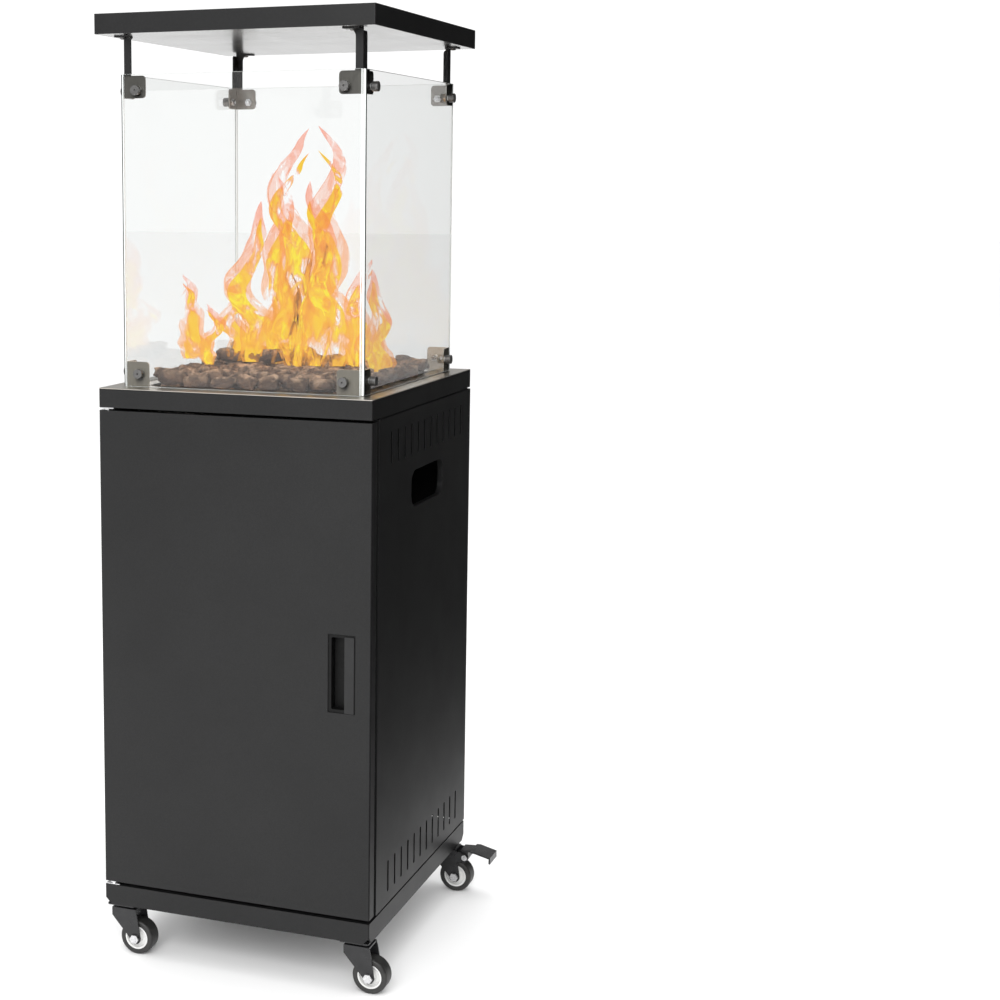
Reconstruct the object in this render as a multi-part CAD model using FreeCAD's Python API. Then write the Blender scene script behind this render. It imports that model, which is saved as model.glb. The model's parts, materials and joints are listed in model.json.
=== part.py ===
import FreeCAD, Part
import math
import os

from FreeCAD import Vector

# A gas patio heater on casters. Millimetres, +Z up, +X to the right and -Y to the front
# when facing the door. The origin is on the floor, under the middle of the cabinet.

# ---- driving dimensions ----
width = 400.0              # cabinet, left to right
depth = 450.0              # cabinet, front to back
caster_height = 75.0       # floor to the underside of the base
base_height = 29.0
door_height = 678.0
door_gap_below = 5.0
door_gap_above = 4.0
deck_height = 27.0
glass_height = 425.0
roof_gap = 52.0            # top of the glass to the underside of the roof
roof_height = 27.0

sheet = 1.2                # thickness of the cabinet's sheet steel
frame_sheet = 1.5          # thickness of the base, the deck frame and the control panel
corner_radius = 2.0        # outside bend radius of the upright corners

door_thickness = 20.0
door_lip = 16.0            # folded lip around the back of the door
side_setback = 28.0        # door face to the front edge of the side panels
panel_gap = 2.5            # shadow gap above and below a side panel
panel_flange = 22.0        # folded front edge of a side panel
rear_flange = 14.0         # folded rear edge of a side panel
frame_lip = 14.0           # folded lips of the base and the deck frame
upstand_height = 12.0      # flanges that the side panels screw to
base_corner_cut = 10.0     # bevel on the bottom corners of the base

slot_count = 12
slot_pitch = 29.3
slot_width = 6.2
slot_length = 45.0
lower_slot_middle = 146.0
upper_slot_middle = 746.0
hand_hole_width = 146.0
hand_hole_height = 52.0
hand_hole_radius = 18.0
hand_hole_middle = 675.0
hand_hole_lip = 8.0
rear_vent_count = 10
rear_upper_vent_middle = 540.0

hinge_inset = 10.0         # side of the door to the hinge axis
hinge_pin_radius = 4.0
hinge_pin_reach = 14.0     # how far a hinge pin stands into the door
hinge_collar_radius = 7.5

bottle_y = 8.0             # middle of the gas bottle
foot_ring_radius = 108.0   # middle of the bottle to a stop

glass_width = 354.0        # outside of the glass box, left to right
glass_depth = 394.0        # outside of the glass box, front to back
glass_sheet = 5.0
glass_joint = 0.5          # gap between two panes at a corner
bracket_sheet = 2.0
upper_legs = (32.5, 30.5)  # upper bracket, along the front and along the side
upper_bracket_height = 30.0
lower_legs = (34.0, 28.0)  # lower bracket, along the front and along the side
lower_bracket_height = 35.0
bracket_foot = 12.0
bracket_rounding = 5.0
bolt_inset = 27.0          # glass corner to the middle of a bolt
bolt_rise = 10.3           # bottom edge of an upper bracket to the middle of its bolt
lower_bolt_rise = 19.0     # deck to the middle of a lower bolt
bolt_radius = 3.0
bolt_head_radius = 7.0
bolt_head_height = 5.0
washer_radius = 6.6
washer_height = 4.0
post_legs = (10.5, 16.0)
post_tab_length = 24.0
post_tab_depth = 15.0
post_flare = 9.0

pan_width = 300.0
pan_depth = 344.0
pan_drop = 20.0            # depth of the burner pan under the deck plate
pan_rounding = 12.0
pan_flange = 12.0
burner_ring_radius = 78.0
burner_tube_radius = 7.0
burner_tube_wall = 1.2
burner_port_count = 32
mixer_radius = 11.0
mixer_drop = 62.0          # pan floor to the foot of the mixer tube
pilot_x = -36.0
pilot_y = -34.0

panel_setback = 40.0       # back of the door to the control panel
valve_x = -60.0
valve_drop = 44.0          # underside of the deck frame to the valve's and the igniter's axes
valve_half = 13.0          # half the size of the valve's body
valve_reach = 46.0         # control panel to the back of the valve's body
plug_radius = 6.0
plug_length = 16.0
plug_setback = 14.0        # control panel to the start of the plug's bore
stem_radius = 4.0
stem_end = 16.0            # control panel to the front end of the stem
knob_travel = 4.0
knob_radius = 17.0
knob_flutes = 12
igniter_x = 60.0
igniter_radius = 11.0
igniter_bezel = 3.0
button_radius = 7.0
button_travel = 5.0
port_setback = 12.0        # back of the valve's body to its inlet and outlet
inlet_radius = 7.9         # outside of the 5/8 inch flare thread
inlet_length = 16.0
pipe_radius = 4.0
pipe_bend = 10.0

rock_length = 33.0
rock_thickness = 19.5
rock_height = 19.0
rock_columns = 9
rock_rows = 15
rock_column_pitch = 36.5
rock_row_pitch = 24.8

handle_right_inset = 22.0  # right edge of the door to the handle
handle_width = 39.0
handle_height = 108.0
handle_middle = 448.0      # height of the handle's middle above the floor
handle_rim = 4.5           # border between the handle's outline and its deep recess
handle_moulding = 1.6
grip_width = 13.5          # grip plate on the right of the recess
grip_reveal = 2.0          # dark gap between the grip plate and the door

wheel_radius = 25.0
wheel_width = 24.0
hub_radius = 17.5
axle_radius = 4.0
caster_trail = 20.0
caster_inset_x = 23.0      # side of the cabinet to a swivel axis
caster_inset_y = 23.0
caster_plate_size = 42.0
caster_plate_sheet = 2.5
caster_race_height = 4.0
kingpin_radius = 4.0
kingpin_head_radius = 7.0
crown_sheet = 2.5
cheek_sheet = 2.0
cheek_gap = 2.5            # wheel to the inside of a cheek
crown_front = -16.0
crown_back = 21.0
cheek_boss_radius = 8.5
tyre_rounding = 3.5
pedal_pivot_x = 36.0
pedal_pivot_z = 58.0
pedal_pin_radius = 3.0
pedal_travel = 15.0

running_gap = 0.05         # radial clearance of a turning or sliding fit
free_gap = 0.5             # clearance between parts that move past each other

# ---- levels and planes worked out from them ----
base_bottom = caster_height
base_top = base_bottom + base_height
door_bottom = base_top + door_gap_below
door_top = door_bottom + door_height
deck_bottom = door_top + door_gap_above
deck_top = deck_bottom + deck_height
glass_top = deck_top + glass_height
roof_bottom = glass_top + roof_gap
roof_top = roof_bottom + roof_height

half_width = width / 2
half_depth = depth / 2
door_front = -half_depth
door_back = door_front + door_thickness
side_front = door_front + side_setback
glass_half_x = glass_width / 2
glass_half_y = glass_depth / 2
glass_inner_x = glass_half_x - glass_sheet
glass_inner_y = glass_half_y - glass_sheet
pan_floor = deck_top - sheet - pan_drop
upper_bracket_top = glass_top - 2.0
upper_bracket_bottom = upper_bracket_top - upper_bracket_height
upper_bolt_level = upper_bracket_bottom + bolt_rise
lower_bolt_level = deck_top + lower_bolt_rise

panel_middle = (side_front + half_depth) / 2
hinge_x = -half_width + hinge_inset
hinge_y = door_front + door_thickness / 2
panel_front = door_back + panel_setback
panel_back = panel_front + frame_sheet
valve_back = panel_back + valve_reach
valve_level = deck_bottom - valve_drop
port_y = valve_back - port_setback
burner_level = pan_floor + sheet + 1.5 + burner_tube_radius
mixer_bottom = pan_floor - mixer_drop
injector_level = mixer_bottom - 4.0

plate_bottom = caster_height - caster_plate_sheet
race_bottom = plate_bottom - caster_race_height
crown_top = race_bottom - free_gap
cheek_inner = wheel_width / 2 + cheek_gap
cheek_outer = cheek_inner + cheek_sheet


# ---- small building blocks ----
def block(x, y, z):
    """A box between two values on each axis."""
    return Part.makeBox(x[1] - x[0], y[1] - y[0], z[1] - z[0], Vector(x[0], y[0], z[0]))


def rounded_block(x, y, z, radius, axis=2):
    """A box whose edges along one axis are rounded."""
    solid = block(x, y, z)
    edges = [edge for edge in solid.Edges if abs(edge.tangentAt(0)[axis]) > 0.99]
    return solid.makeFillet(radius, edges)


def rod(start, direction, radius, length):
    return Part.makeCylinder(radius, length, Vector(*start), Vector(*direction))


def tube(start, direction, outer, inner, length):
    return rod(start, direction, outer, length).cut(rod(start, direction, inner, length))


def prism(points, direction, length):
    """A flat polygon pushed out along a direction."""
    corners = [Vector(*point) for point in points]
    face = Part.Face(Part.makePolygon(corners + corners[:1]))
    return face.extrude(Vector(*direction) * length)


def hexagon(centre, direction, across_flats, height, sides=6):
    """A bolt head or a nut standing on a point, with its flats around a direction."""
    radius = across_flats / 2 / math.cos(math.pi / sides)
    points = [
        (radius * math.cos(2 * math.pi * i / sides), radius * math.sin(2 * math.pi * i / sides), 0)
        for i in range(sides)
    ]
    solid = prism(points, (0, 0, 1), height)
    turn = FreeCAD.Rotation(Vector(0, 0, 1), Vector(*direction))
    solid.Placement = FreeCAD.Placement(Vector(*centre), turn)
    return solid


def wall(x, y, z, thickness, radius=corner_radius):
    """A sheet wall around four sides, open above and below."""
    outer = rounded_block(x, y, z, radius)
    inner_x = (x[0] + thickness, x[1] - thickness)
    inner_y = (y[0] + thickness, y[1] - thickness)
    return outer.cut(rounded_block(inner_x, inner_y, z, max(radius - thickness, 0.3)))


def frame_plate(x, y, z, border, radius=corner_radius):
    """A flat sheet with one large opening, which leaves a border all round."""
    outer = rounded_block(x, y, z, radius)
    return outer.cut(block((x[0] + border, x[1] - border), (y[0] + border, y[1] - border), z))


def upright_slot(x, middle_y, middle_z):
    """A cutter for one vent slot through a side panel."""
    half = (slot_length - slot_width) / 2
    radius = slot_width / 2
    run = x[1] - x[0]
    body = block(x, (middle_y - radius, middle_y + radius), (middle_z - half, middle_z + half))
    ends = [
        rod((x[0], middle_y, middle_z + side * half), (1, 0, 0), radius, run) for side in (-1, 1)
    ]
    return body.fuse(ends).removeSplitter()


def turned(shape, angle):
    copy = shape.copy()
    copy.rotate(Vector(0, 0, 0), Vector(0, 0, 1), angle)
    return copy


def moved(shape, x=0.0, y=0.0, z=0.0):
    copy = shape.copy()
    copy.translate(Vector(x, y, z))
    return copy


def mirrored_x(shape):
    return shape.mirror(Vector(0, 0, 0), Vector(1, 0, 0))


def joined(first, *others):
    """One solid made of pieces that are folded, welded or moulded together."""
    return first.fuse(list(others)).removeSplitter()


def save(name, *solids):
    """Write one node. A node with several solids is a set of identical loose pieces."""
    pieces = [solid for shape in solids for solid in shape.Solids]
    shape = pieces[0] if len(pieces) == 1 else Part.makeCompound(pieces)
    if not shape.isValid():
        raise ValueError(name + " is not a valid shape")
    shape.exportStep("parts/" + name + ".step")


# ---- cabinet ----
def panel_upstands(z):
    """The two flanges that the side panels screw to, just inside the panels."""
    outer = half_width - sheet - 0.2
    y = (side_front + 8, half_depth - 10)
    right = block((outer - frame_sheet, outer), y, z)
    return [right, mirrored_x(right)]


def base_tray():
    x = (-half_width, half_width)
    y = (-half_depth, half_depth)
    floor = rounded_block(x, y, (base_bottom, base_bottom + frame_sheet), corner_radius)
    sides = wall(x, y, (base_bottom, base_top), frame_sheet)
    lip = frame_plate(x, y, (base_top - frame_sheet, base_top), frame_lip)
    upstands = panel_upstands((base_top - frame_sheet, base_top + upstand_height))
    tray = joined(floor, sides, lip, *upstands)
    for corner_x in (-1, 1):
        for corner_y in (-1, 1):
            tray = tray.cut(corner_bevel(corner_x * half_width, corner_y * half_depth))
    return tray


def corner_bevel(x, y):
    """A three-sided cutter that bevels one bottom corner of the base."""
    reach = base_corner_cut + 1
    out_x = math.copysign(1, x)
    out_y = math.copysign(1, y)
    tip = Vector(x + out_x, y + out_y, base_bottom - 1)
    along_x = tip - Vector(out_x * (reach + 2), 0, 0)
    along_y = tip - Vector(0, out_y * (reach + 2), 0)
    above = tip + Vector(0, 0, reach + 2)
    loops = [(tip, along_x, along_y), (tip, along_x, above), (tip, along_y, above), (along_x, along_y, above)]
    faces = [Part.Face(Part.makePolygon(list(loop) + [loop[0]])) for loop in loops]
    solid = Part.makeSolid(Part.makeShell(faces))
    return solid if solid.Volume > 0 else solid.reversed()


def side_panel():
    """The right side panel. The left one is its mirror image."""
    outer = (half_width - sheet, half_width)
    z = (base_top + panel_gap, deck_bottom - panel_gap)
    skin = block(outer, (side_front, half_depth), z)
    front = block((half_width - panel_flange, half_width), (side_front, side_front + sheet), z)
    rear = block((half_width - rear_flange, half_width), (half_depth - sheet, half_depth), z)
    hole_x = (half_width - hand_hole_lip, half_width)
    hole_y = (panel_middle - hand_hole_width / 2, panel_middle + hand_hole_width / 2)
    hole_z = (hand_hole_middle - hand_hole_height / 2, hand_hole_middle + hand_hole_height / 2)
    rim_y = (hole_y[0] - sheet, hole_y[1] + sheet)
    rim_z = (hole_z[0] - sheet, hole_z[1] + sheet)
    rim = rounded_block(hole_x, rim_y, rim_z, hand_hole_radius + sheet, axis=0)
    hole = rounded_block(hole_x, hole_y, hole_z, hand_hole_radius, axis=0)
    cutters = [hole]
    for middle_z in (lower_slot_middle, upper_slot_middle):
        for i in range(slot_count):
            middle_y = panel_middle + (i - (slot_count - 1) / 2) * slot_pitch
            cutters.append(upright_slot((outer[0] - 1, outer[1] + 1), middle_y, middle_z))
    return joined(skin, front, rear, rim).cut(cutters)


def back_panel():
    """The rear wall, screwed to the inside of the side panels' rear flanges."""
    back = half_depth - sheet - 0.2
    half = half_width - sheet - 2.2
    z = (base_top + panel_gap, deck_bottom - panel_gap)
    panel = block((-half, half), (back - sheet, back), z)
    slots = []
    for middle_z in (lower_slot_middle, rear_upper_vent_middle):
        for i in range(rear_vent_count):
            slot = upright_slot((-sheet - 1, sheet + 1), 0, middle_z)
            middle_x = (i - (rear_vent_count - 1) / 2) * slot_pitch
            slots.append(moved(turned(slot, 90), middle_x, back - sheet / 2))
    return panel.cut(slots)


def bottle_stops():
    """Four low angles on the cabinet floor, which keep the bottle's foot ring in place."""
    leg = 18.0
    height = 22.0
    stop_sheet = 2.0
    floor = base_bottom + frame_sheet
    near = foot_ring_radius
    foot = block((near, near + leg), (-leg, leg), (floor, floor + stop_sheet))
    stop = block((near, near + stop_sheet), (-leg, leg), (floor, floor + height))
    angle = joined(foot, stop)
    return [moved(turned(angle, 45 + 90 * i), 0, bottle_y) for i in range(4)]


def tilt_switch():
    """The tip-over switch, low on the inside of the right side panel."""
    wall_face = half_width - sheet
    y = (118.0, 150.0)
    z = (240.0, 282.0)
    case_depth = 22.0
    plate = block((wall_face - 2, wall_face), (y[0] - 8, y[1] + 8), z)
    case = rounded_block((wall_face - case_depth, wall_face - 2), y, (z[0] + 4, z[1] - 4), 3, axis=0)
    lugs = []
    for lug_x in (wall_face - 14, wall_face - 8):
        lugs.append(block((lug_x, lug_x + 1), (y[0] + 12, y[1] - 12), (z[0] - 4, z[0] + 4)))
    return joined(plate, case, *lugs)


def magnetic_catch():
    """The catch on the front edge of the right side panel."""
    x = (half_width - panel_flange + 3, half_width - 5)
    z = (handle_middle - 22, handle_middle + 22)
    return rounded_block(x, (door_back + 1.5, side_front), z, 2, axis=1)


# ---- door and its hinge ----
def door_panel():
    """A folded pan: a front skin, four sides and a lip, with a block for each hinge pin."""
    x = (-half_width, half_width)
    y = (door_front, door_back)
    z = (door_bottom, door_top)
    outer = rounded_block(x, y, z, corner_radius)
    hollow = block((x[0] + sheet, x[1] - sheet), (y[0] + sheet, y[1]), (z[0] + sheet, z[1] - sheet))
    lip_opening = block(
        (x[0] + door_lip, x[1] - door_lip), (door_back - sheet, door_back), (z[0] + door_lip, z[1] - door_lip)
    )
    lip = block(x, (door_back - sheet, door_back), z).cut(lip_opening).common(outer)
    pin_block_x = (x[0] + sheet, hinge_x + 9)
    pin_block_y = (y[0] + sheet, y[1] - sheet)
    lower_block = block(pin_block_x, pin_block_y, (z[0], z[0] + 12))
    upper_block = block(pin_block_x, pin_block_y, (z[1] - 12, z[1]))
    shell = joined(outer.cut(hollow), lip, lower_block, upper_block)
    bore_radius = hinge_pin_radius + running_gap
    bore = rod((hinge_x, hinge_y, z[0] - 1), (0, 0, 1), bore_radius, door_height + 2)
    handle_x, handle_z = handle_outline()
    window = block(handle_x, (y[0] - 1, y[0] + sheet + 1), handle_z)
    return shell.cut([bore, window])


def hinge_pins():
    """The lower and the upper pivot, each a plate, a collar and a pin."""
    plate_x = (-half_width + 1, hinge_x + 12)
    plate_y = (door_front + 1, door_back + 6)
    pivots = []
    for level, up, gap in ((base_top, 1, door_gap_below), (deck_bottom, -1, door_gap_above)):
        start = (hinge_x, hinge_y, level)
        plate = block(plate_x, plate_y, sorted((level, level + up * frame_sheet)))
        collar = rod(start, (0, 0, up), hinge_collar_radius, gap - free_gap)
        pin = rod(start, (0, 0, up), hinge_pin_radius, gap + hinge_pin_reach)
        pivots.append(joined(plate, collar, pin))
    return pivots


def handle_outline():
    """The handle's window in the door: its X range and its Z range."""
    right = half_width - handle_right_inset
    half = handle_height / 2
    return (right - handle_width, right), (handle_middle - half, handle_middle + half)


def handle_cup():
    """The recessed pull: a moulded cup behind the door's skin, with a grip plate on its right."""
    x, z = handle_outline()
    rim_front = door_front + sheet + 0.2
    cup_back = door_back - sheet - 1.5
    flange = block((x[0] - 4, x[1] + 4), (rim_front, rim_front + handle_moulding), (z[0] - 4, z[1] + 4))
    recess_x = (x[0] + handle_rim, x[1] - handle_rim)
    recess_z = (z[0] + handle_rim, z[1] - handle_rim)
    wall_x = (recess_x[0] - handle_moulding, recess_x[1] + handle_moulding)
    wall_z = (recess_z[0] - handle_moulding, recess_z[1] + handle_moulding)
    cup = rounded_block(wall_x, (rim_front, cup_back), wall_z, 3, axis=1)
    hollow = rounded_block(recess_x, (rim_front - 1, cup_back - handle_moulding), recess_z, 2, axis=1)
    grip_right = x[1] - grip_reveal
    grip_x = (grip_right - grip_width, grip_right)
    grip_z = (z[0] + 0.4, z[1] - 3.0)
    grip = rounded_block(grip_x, (door_front, door_front + 3.5), grip_z, 1.0, axis=1)
    web = block((x[1] - handle_rim, grip_right), (door_front + 2, cup_back), (z[0] + 6, z[1] - 6))
    return joined(flange, cup).cut(hollow).fuse([grip, web]).removeSplitter()


def door_strike():
    """The steel plate that the magnetic catch holds."""
    x = (half_width - door_lip + 1, half_width - 3)
    return block(x, (door_back, door_back + 1.0), (handle_middle - 18, handle_middle + 18))


# ---- deck, burner and rocks ----
def deck_frame():
    x = (-half_width, half_width)
    y = (-half_depth, half_depth)
    skirt_top = deck_top - sheet
    skirt = wall(x, y, (deck_bottom, skirt_top), frame_sheet)
    lip = frame_plate(x, y, (deck_bottom, deck_bottom + frame_sheet), frame_lip)
    upstands = panel_upstands((deck_bottom - upstand_height, deck_bottom + frame_sheet))
    return joined(skirt, lip, *upstands)


def deck_plate():
    """The stainless top, open over the burner pan."""
    z = (deck_top - sheet, deck_top)
    plate = rounded_block((-half_width, half_width), (-half_depth, half_depth), z, corner_radius)
    pan_x = (-pan_width / 2, pan_width / 2)
    pan_y = (-pan_depth / 2, pan_depth / 2)
    return plate.cut(rounded_block(pan_x, pan_y, z, pan_rounding))


def burner_pan():
    """The tray that holds the burner and the lowest rocks, hung from the deck plate."""
    inner_x = pan_width / 2 + 1
    inner_y = pan_depth / 2 + 1
    top = deck_top - sheet
    outer_x = (-inner_x - sheet, inner_x + sheet)
    outer_y = (-inner_y - sheet, inner_y + sheet)
    side = wall(outer_x, outer_y, (pan_floor, top), sheet, pan_rounding)
    floor = rounded_block(outer_x, outer_y, (pan_floor, pan_floor + sheet), pan_rounding)
    flange_x = (-inner_x - pan_flange, inner_x + pan_flange)
    flange_y = (-inner_y - pan_flange, inner_y + pan_flange)
    flange = rounded_block(flange_x, flange_y, (top - sheet, top), pan_rounding)
    mouth = rounded_block((-inner_x, inner_x), (-inner_y, inner_y), (top - sheet, top), pan_rounding - 1)
    pan = joined(side, floor, flange.cut(mouth))
    mixer_hole = rod((0, 0, pan_floor - 1), (0, 0, 1), mixer_radius + 0.5, sheet + 2)
    pilot_hole = rod((pilot_x, pilot_y, pan_floor - 1), (0, 0, 1), 6, sheet + 2)
    return pan.cut([mixer_hole, pilot_hole])


def burner_ring():
    """A tube ring with a cross tube, a feed socket in the middle and gas ports on top."""
    bore_radius = burner_tube_radius - burner_tube_wall
    centre = Vector(0, 0, burner_level)
    ring = Part.makeTorus(burner_ring_radius, burner_tube_radius, centre)
    passage = Part.makeTorus(burner_ring_radius, bore_radius, centre)
    cross_start = (-burner_ring_radius, 0, burner_level)
    cross = rod(cross_start, (1, 0, 0), burner_tube_radius - 1, 2 * burner_ring_radius)
    cross_passage = rod(cross_start, (1, 0, 0), bore_radius - 1, 2 * burner_ring_radius)
    socket_bottom = pan_floor + sheet + 0.3
    socket_start = (0, 0, socket_bottom)
    socket = rod(socket_start, (0, 0, 1), mixer_radius + 2.5, burner_level + 6.5 - socket_bottom)
    socket_passage = rod(socket_start, (0, 0, 1), mixer_radius + running_gap, burner_level - socket_bottom)
    foot_x = (burner_ring_radius - 4, burner_ring_radius + 4)
    foot = block(foot_x, (-4, 4), (pan_floor + sheet, burner_level - 5))
    feet = [turned(foot, 45 + 90 * i) for i in range(4)]
    ports = []
    for i in range(burner_port_count):
        port = rod((burner_ring_radius, 0, burner_level), (0, 0, 1), 1.3, burner_tube_radius + 1)
        ports.append(turned(port, 360 * (i + 0.5) / burner_port_count))
    return joined(ring, cross, socket, *feet).cut([passage, cross_passage, socket_passage] + ports)


def mixer_tube():
    """The upright tube where gas and air mix, with four air windows near its foot."""
    top = burner_level - 1.0
    foot = (0, 0, mixer_bottom)
    body = rod(foot, (0, 0, 1), mixer_radius, top - mixer_bottom)
    flare = Part.makeCone(mixer_radius + 5, mixer_radius, 12, Vector(*foot))
    bore = rod((0, 0, mixer_bottom + 3), (0, 0, 1), mixer_radius - burner_tube_wall, top - mixer_bottom)
    jet_hole = rod((0, 0, mixer_bottom - 1), (0, 0, 1), 5.0, 6)
    window = block((0, mixer_radius + 8), (-4, 4), (mixer_bottom + 16, mixer_bottom + 32))
    windows = [turned(window, 45 + 90 * i) for i in range(4)]
    return joined(body, flare).cut([bore, jet_hole] + windows)


def control_panel():
    """The fascia behind the door, which carries the gas valve and the igniter."""
    half = half_width - sheet - 0.3
    z = (deck_bottom - 88, deck_bottom - 14)
    fold_y = (panel_front, panel_back + 14)
    face = block((-half, half), (panel_front, panel_back), z)
    shield = block((4 - half, half - 4), (panel_front, panel_back), (z[1], deck_bottom - 4))
    right_fold = block((half - 2, half), fold_y, z)
    lower_fold = block((-half, half), fold_y, (z[0], z[0] + frame_sheet))
    fascia = joined(face, shield, lower_fold, right_fold, mirrored_x(right_fold))
    through = frame_sheet + 2
    stem_hole = rod((valve_x, panel_front - 1, valve_level), (0, 1, 0), 8.5, through)
    igniter_hole = rod((igniter_x, panel_front - 1, valve_level), (0, 1, 0), igniter_radius + 0.2, through)
    return fascia.cut([stem_hole, igniter_hole])


def gas_valve():
    """The valve body, bored from the front for its plug and stem."""
    x = (valve_x - valve_half, valve_x + valve_half)
    z = (valve_level - valve_half, valve_level + valve_half)
    body = rounded_block(x, (panel_back + 6, valve_back), z, 3, axis=1)
    neck = rod((valve_x, panel_back, valve_level), (0, 1, 0), 9.8, 8)
    inlet = rod((valve_x, port_y, z[0]), (0, 0, -1), 8, 10)
    outlet = rod((x[1], port_y, valve_level), (1, 0, 0), 7, 10)
    bore_radius = plug_radius + running_gap
    bore_length = 1 + plug_setback + plug_length
    bore = rod((valve_x, panel_back - 1, valve_level), (0, 1, 0), bore_radius, bore_length)
    way_out = rod((valve_x, port_y, valve_level), (1, 0, 0), 2.5, valve_half + 12)
    way_in = rod((valve_x, port_y, valve_level), (0, 0, -1), 3, valve_half + 12)
    return joined(body, neck, inlet, outlet).cut([bore, way_out, way_in])


def valve_plug():
    """The turning plug, slotted across its front for the stem's blade."""
    start = panel_back + plug_setback + free_gap
    plug = rod((valve_x, start, valve_level), (0, 1, 0), plug_radius, plug_length - 1)
    slot_x = (valve_x - 1.6, valve_x + 1.6)
    slot_z = (valve_level - plug_radius - 1, valve_level + plug_radius + 1)
    return plug.cut(block(slot_x, (start - 1, start + 9), slot_z))


def valve_spindle():
    """The stem: a round shaft to the knob and a flat blade that slides in the plug."""
    front = panel_front - stem_end
    shoulder = panel_back + plug_setback - 1.0 - knob_travel
    shaft = rod((valve_x, front, valve_level), (0, 1, 0), stem_radius, shoulder - front)
    collar = rod((valve_x, shoulder - 4, valve_level), (0, 1, 0), plug_radius, 4)
    blade_x = (valve_x - 1.0, valve_x + 1.0)
    blade = block(blade_x, (shoulder, shoulder + 9), (valve_level - 4.5, valve_level + 4.5))
    return joined(shaft, collar, blade)


def control_knob():
    """A fluted knob with a pointer ridge, on the end of the spindle."""
    front = panel_front - 24
    back = panel_front - knob_travel - 1.5
    skirt_depth = 4.0
    body = rod((valve_x, front, valve_level), (0, 1, 0), knob_radius, back - front)
    skirt = rod((valve_x, back - skirt_depth, valve_level), (0, 1, 0), knob_radius + 4, skirt_depth)
    pointer = block((valve_x - 2, valve_x + 2), (front - 1.5, front + 2), (valve_level, valve_level + 16))
    flutes = []
    for i in range(knob_flutes):
        angle = 2 * math.pi * (i + 0.5) / knob_flutes
        x = valve_x + (knob_radius + 1.6) * math.cos(angle)
        z = valve_level + (knob_radius + 1.6) * math.sin(angle)
        flutes.append(rod((x, front - 2, z), (0, 1, 0), 3, back - skirt_depth - front + 2))
    bore = rod((valve_x, panel_front - stem_end, valve_level), (0, 1, 0), stem_radius + 0.02, 30)
    return joined(joined(body, skirt).cut(flutes), pointer).cut(bore)


def igniter_body():
    """The piezo igniter: a threaded barrel with a bezel, bored for its button."""
    front = panel_front - igniter_bezel
    barrel_end = panel_front + 41
    bezel = rod((igniter_x, front, valve_level), (0, 1, 0), 14, igniter_bezel)
    barrel = rod((igniter_x, front, valve_level), (0, 1, 0), igniter_radius, barrel_end - front)
    nut = hexagon((igniter_x, panel_back, valve_level), (0, 1, 0), 27, 5)
    terminal = rod((igniter_x, barrel_end - 1, valve_level), (0, 1, 0), 3, 9)
    bore = rod((igniter_x, front - 1, valve_level), (0, 1, 0), button_radius + running_gap, 24)
    return joined(bezel, barrel, nut, terminal).cut(bore)


def igniter_button():
    """The push button, its front edge rounded for the thumb."""
    front = panel_front - igniter_bezel - button_travel - 2
    shank = rod((igniter_x, front, valve_level), (0, 1, 0), button_radius, 20)
    edge = [curve for curve in shank.Edges if abs(curve.BoundBox.YMax - front) < 0.01]
    return shank.makeFillet(1.2, edge)


def pipe_along(points, outer, inner, bend):
    """A round pipe along straight runs, with a rounded bend at each inner point."""
    path = [Vector(*point) for point in points]
    edges = []
    start = path[0]
    for before, corner, after in zip(path, path[1:], path[2:]):
        into = (corner - before).normalize()
        out = (after - corner).normalize()
        turn = into.getAngle(out)
        trim = bend * math.tan(turn / 2)
        first = corner - into * trim
        last = corner + out * trim
        middle_dir = (out - into).normalize()
        middle = corner + middle_dir * (bend / math.cos(turn / 2) - bend)
        edges.append(Part.LineSegment(start, first).toShape())
        edges.append(Part.Arc(first, middle, last).toShape())
        start = last
    edges.append(Part.LineSegment(start, path[-1]).toShape())
    spine = Part.Wire(edges)
    heading = path[1] - path[0]
    skins = []
    for radius in (outer, inner):
        ring = Part.Wire(Part.makeCircle(radius, path[0], heading))
        skins.append(spine.makePipeShell([ring], True, False))
    return skins[0].cut(skins[1])


def supply_pipe():
    """The aluminium pipe from the valve's outlet to the injector under the mixer tube."""
    lower_run = valve_level - 42
    points = [
        (valve_x + valve_half + 10, port_y, valve_level),
        (0, port_y, valve_level),
        (0, port_y, lower_run),
        (0, 0, lower_run),
        (0, 0, injector_level - 12),
    ]
    return pipe_along(points, pipe_radius, pipe_radius - 1, pipe_bend)


def brass_fittings():
    """The injector that feeds the mixer tube, and the hose connection of the valve."""
    stem = rod((0, 0, injector_level - 12), (0, 0, 1), 6, 12)
    collar = hexagon((0, 0, injector_level - 8), (0, 0, 1), 15, 5)
    jet = Part.makeCone(4.4, 2.6, 6, Vector(0, 0, injector_level))
    jet_way = rod((0, 0, injector_level - 13), (0, 0, 1), 1.2, 22)
    injector = joined(stem, collar, jet).cut(jet_way)
    top = valve_level - valve_half - 10
    nut_height = 10.0
    nut = hexagon((valve_x, port_y, top), (0, 0, -1), 20, nut_height)
    spigot = rod((valve_x, port_y, top), (0, 0, -1), inlet_radius, nut_height + inlet_length)
    way = rod((valve_x, port_y, top + 1), (0, 0, -1), 3, nut_height + inlet_length + 2)
    return [injector, joined(nut, spigot).cut(way)]


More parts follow.
